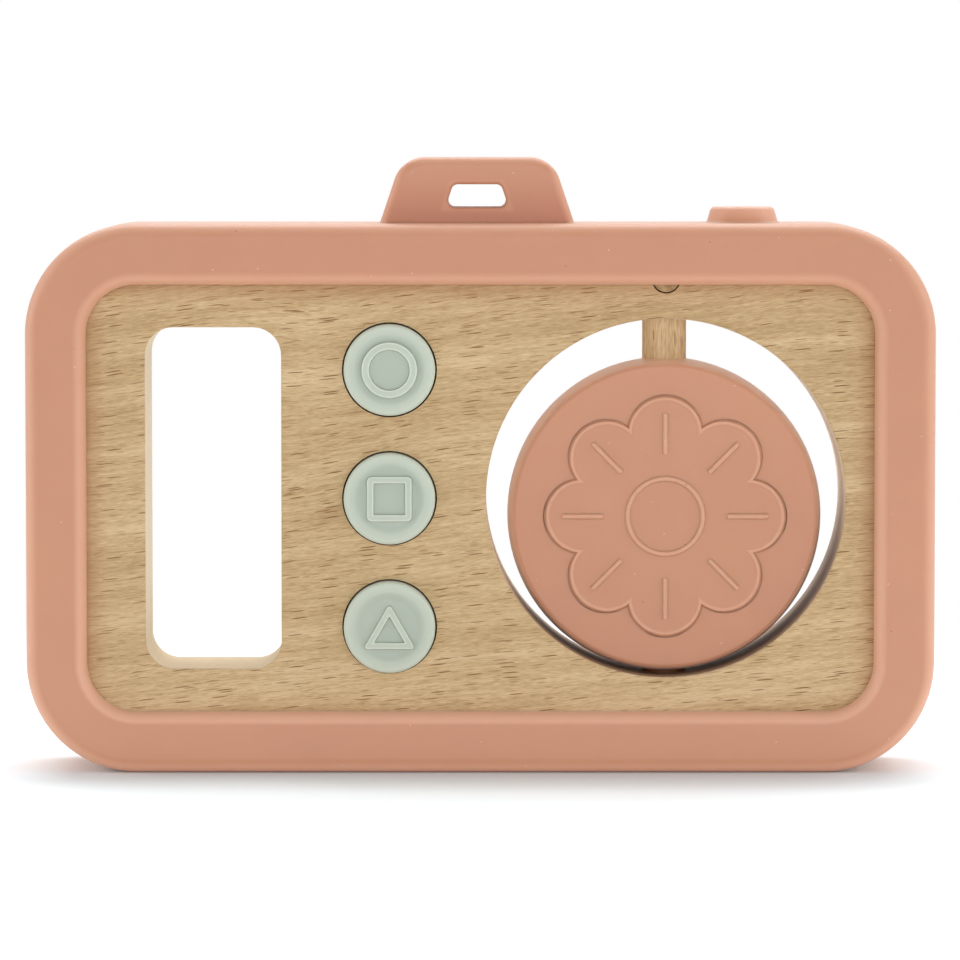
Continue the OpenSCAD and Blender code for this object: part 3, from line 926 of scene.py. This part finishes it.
def flowerMesh():
    wire, size = newTree("flowerRelief", flowerSizes)
    rise, foot, sink = size["Rise"], size["Foot"], size["Sink"]

    # The plate is a grid bent round the middle. Its first rows close the underside, from the middle out,
    # and the others run in from the outline.
    rows, under, spokes = flowerGrid["rows"], flowerGrid["underRows"], flowerGrid["spokes"]
    grid = wire.node("GeometryNodeMeshGrid", None, {"Vertices X": rows, "Vertices Y": spokes + 1})
    place = wire.node("ShaderNodeSeparateXYZ", None, {0: wire.node("GeometryNodeInputPosition")})
    row = (place + 0.5) * (rows - 1)
    angle = place.also("Y") * 2 * math.pi
    turn = math.pi / size["Petals"]
    bend = wire.math("WRAP", angle, turn, -turn)
    sine, cosine = bend.math("SINE", bend), bend.math("COSINE", bend)
    outline = size["Ring"] * cosine + wire.math(
        "SQRT", size["Petal"] * size["Petal"] - wire.math("POWER", size["Ring"] * sine, 2)
    )
    run = wire.node("ShaderNodeMapRange", None, {"Value": row, "From Min": under, "From Max": rows - 1})
    inward = 1 - wire.math("POWER", run, flowerGrid["crowding"])
    far = (outline + 2 * foot) * inward * row.math("GREATER_THAN", row, 0.5)
    past = wire.math("MAXIMUM", far * cosine - size["Ring"], 0)
    beside = far * sine
    inset = size["Petal"] - wire.math("SQRT", past * past + beside * beside)
    bead = inset.step(-foot, foot) - inset.step(size["Bead width"] - foot, size["Bead width"] + foot)
    height = inset.step(-foot, foot) * rise + bead * size["Bead"]
    below = row.math("LESS_THAN", row, under - 0.5)
    spot = wire.node(
        "ShaderNodeCombineXYZ", None,
        {
            0: far * angle.math("COSINE", angle),
            1: far * angle.math("SINE", angle),
            2: height * (1 - below) - sink * below,
        },
    )
    plate = wire.node("GeometryNodeSetPosition", None, {"Geometry": grid, "Position": spot})
    plate = wire.node(
        "GeometryNodeMergeByDistance", None, {"Geometry": plate, "Distance": flowerGrid["weld"]},
    )

    # A ridge's section points down where the curve's own frame is upside down, so its heights are negative
    line = wire.node("GeometryNodeCurvePrimitiveLine")
    line = wire.node(
        "GeometryNodeResampleCurve", {"mode": "COUNT"}, {"Curve": line, "Count": flowerGrid["ridgePoints"]}
    )
    share = wire.node("GeometryNodeSplineParameter")
    hump = abs(share - 0.5).step(0.5, flowerGrid["ridgeCrest"]) * (size["Vein rise"] + sink) - sink
    across = size["Vein width"] * (share - 0.5) * flowerGrid["ridgeSpread"]
    section = wire.node("ShaderNodeCombineXYZ", None, {0: across, 1: -hump})
    ridge = wire.node("GeometryNodeSetPosition", None, {"Geometry": line, "Position": section})
    ridge = wire.node("GeometryNodeSetSplineCyclic", None, {"Geometry": ridge, "Cyclic": True})

    def swept(path):
        path = wire.node("GeometryNodeSetCurveNormal", {"mode": "Z_UP"}, {"Curve": path})
        return wire.node(
            "GeometryNodeCurveToMesh", None, {"Curve": path, "Profile Curve": ridge, "Fill Caps": True}
        )

    heart = wire.node(
        "GeometryNodeCurvePrimitiveCircle", {"mode": "RADIUS"},
        {"Resolution": flowerGrid["heartPoints"], "Radius": size["Heart"]},
    )
    ends = [
        wire.node("ShaderNodeCombineXYZ", None, {0: size["Ring"] + size["Vein length"] * half})
        for half in (-0.5, 0.5)
    ]
    vein = wire.node("GeometryNodeCurvePrimitiveLine", None, {"Start": ends[0], "End": ends[1]})
    vein = wire.node(
        "GeometryNodeResampleCurve", {"mode": "COUNT"}, {"Curve": vein, "Count": flowerGrid["veinPoints"]}
    )
    along = wire.node("GeometryNodeSplineParameter")
    taper = wire.math("POWER", abs(along * 2 - 1), flowerGrid["veinEnd"])
    taper = wire.math("SQRT", flowerGrid["veinBlunt"] - taper)
    vein = wire.node("GeometryNodeSetCurveRadius", None, {"Curve": vein, "Radius": taper})
    spots = wire.node("GeometryNodePoints", None, {"Count": flowerSizes["Petals"]})
    aim = wire.node("ShaderNodeCombineXYZ", None, {2: wire.node("GeometryNodeInputIndex") * 2 * turn})
    veins = wire.node(
        "GeometryNodeInstanceOnPoints", None, {"Points": spots, "Instance": swept(vein), "Rotation": aim}
    )
    lines = wire.node("GeometryNodeJoinGeometry", None, {0: [swept(heart), veins]})
    lift = wire.node("ShaderNodeCombineXYZ", None, {2: rise})
    lines = wire.node("GeometryNodeTransform", None, {"Geometry": lines, "Translation": lift})
    whole = wire.node("GeometryNodeJoinGeometry", None, {0: [plate, lines]})
    return grownMesh(wire, whole, lensSilicone, flowerSizes)


# Painted highlight on the lens: paler at the rim and on the relief's raised lines
def lensPaintedLight(spot):
    far = math.hypot(spot.x, spot.y)
    over = abs(spot.z) - lens["half"] - flowerSizes["Rise"]
    return max(smooth(far, *lens["rimSpan"]), tint(over, *lens["lineHighlight"]))


flower = flowerMesh()
flower.transform(Matrix.Translation((0, 0, lens["half"])))
lensPlace = Matrix.Translation((lens["x"], lens["y"], 0))
addPiece(
    "lensFrontCover", combined([coverMesh(), flower]), lensPlace, lensPaintedLight, lensSilicone,
    "lens", "lens_front_cover",
)
addPiece(
    "lensBackCover", coverMesh(), lensPlace @ Matrix.Rotation(math.pi, 4, "Y"), lensPaintedLight, lensSilicone,
    "lens", "lens_back_cover",
)

print("toy camera: all pieces in place")
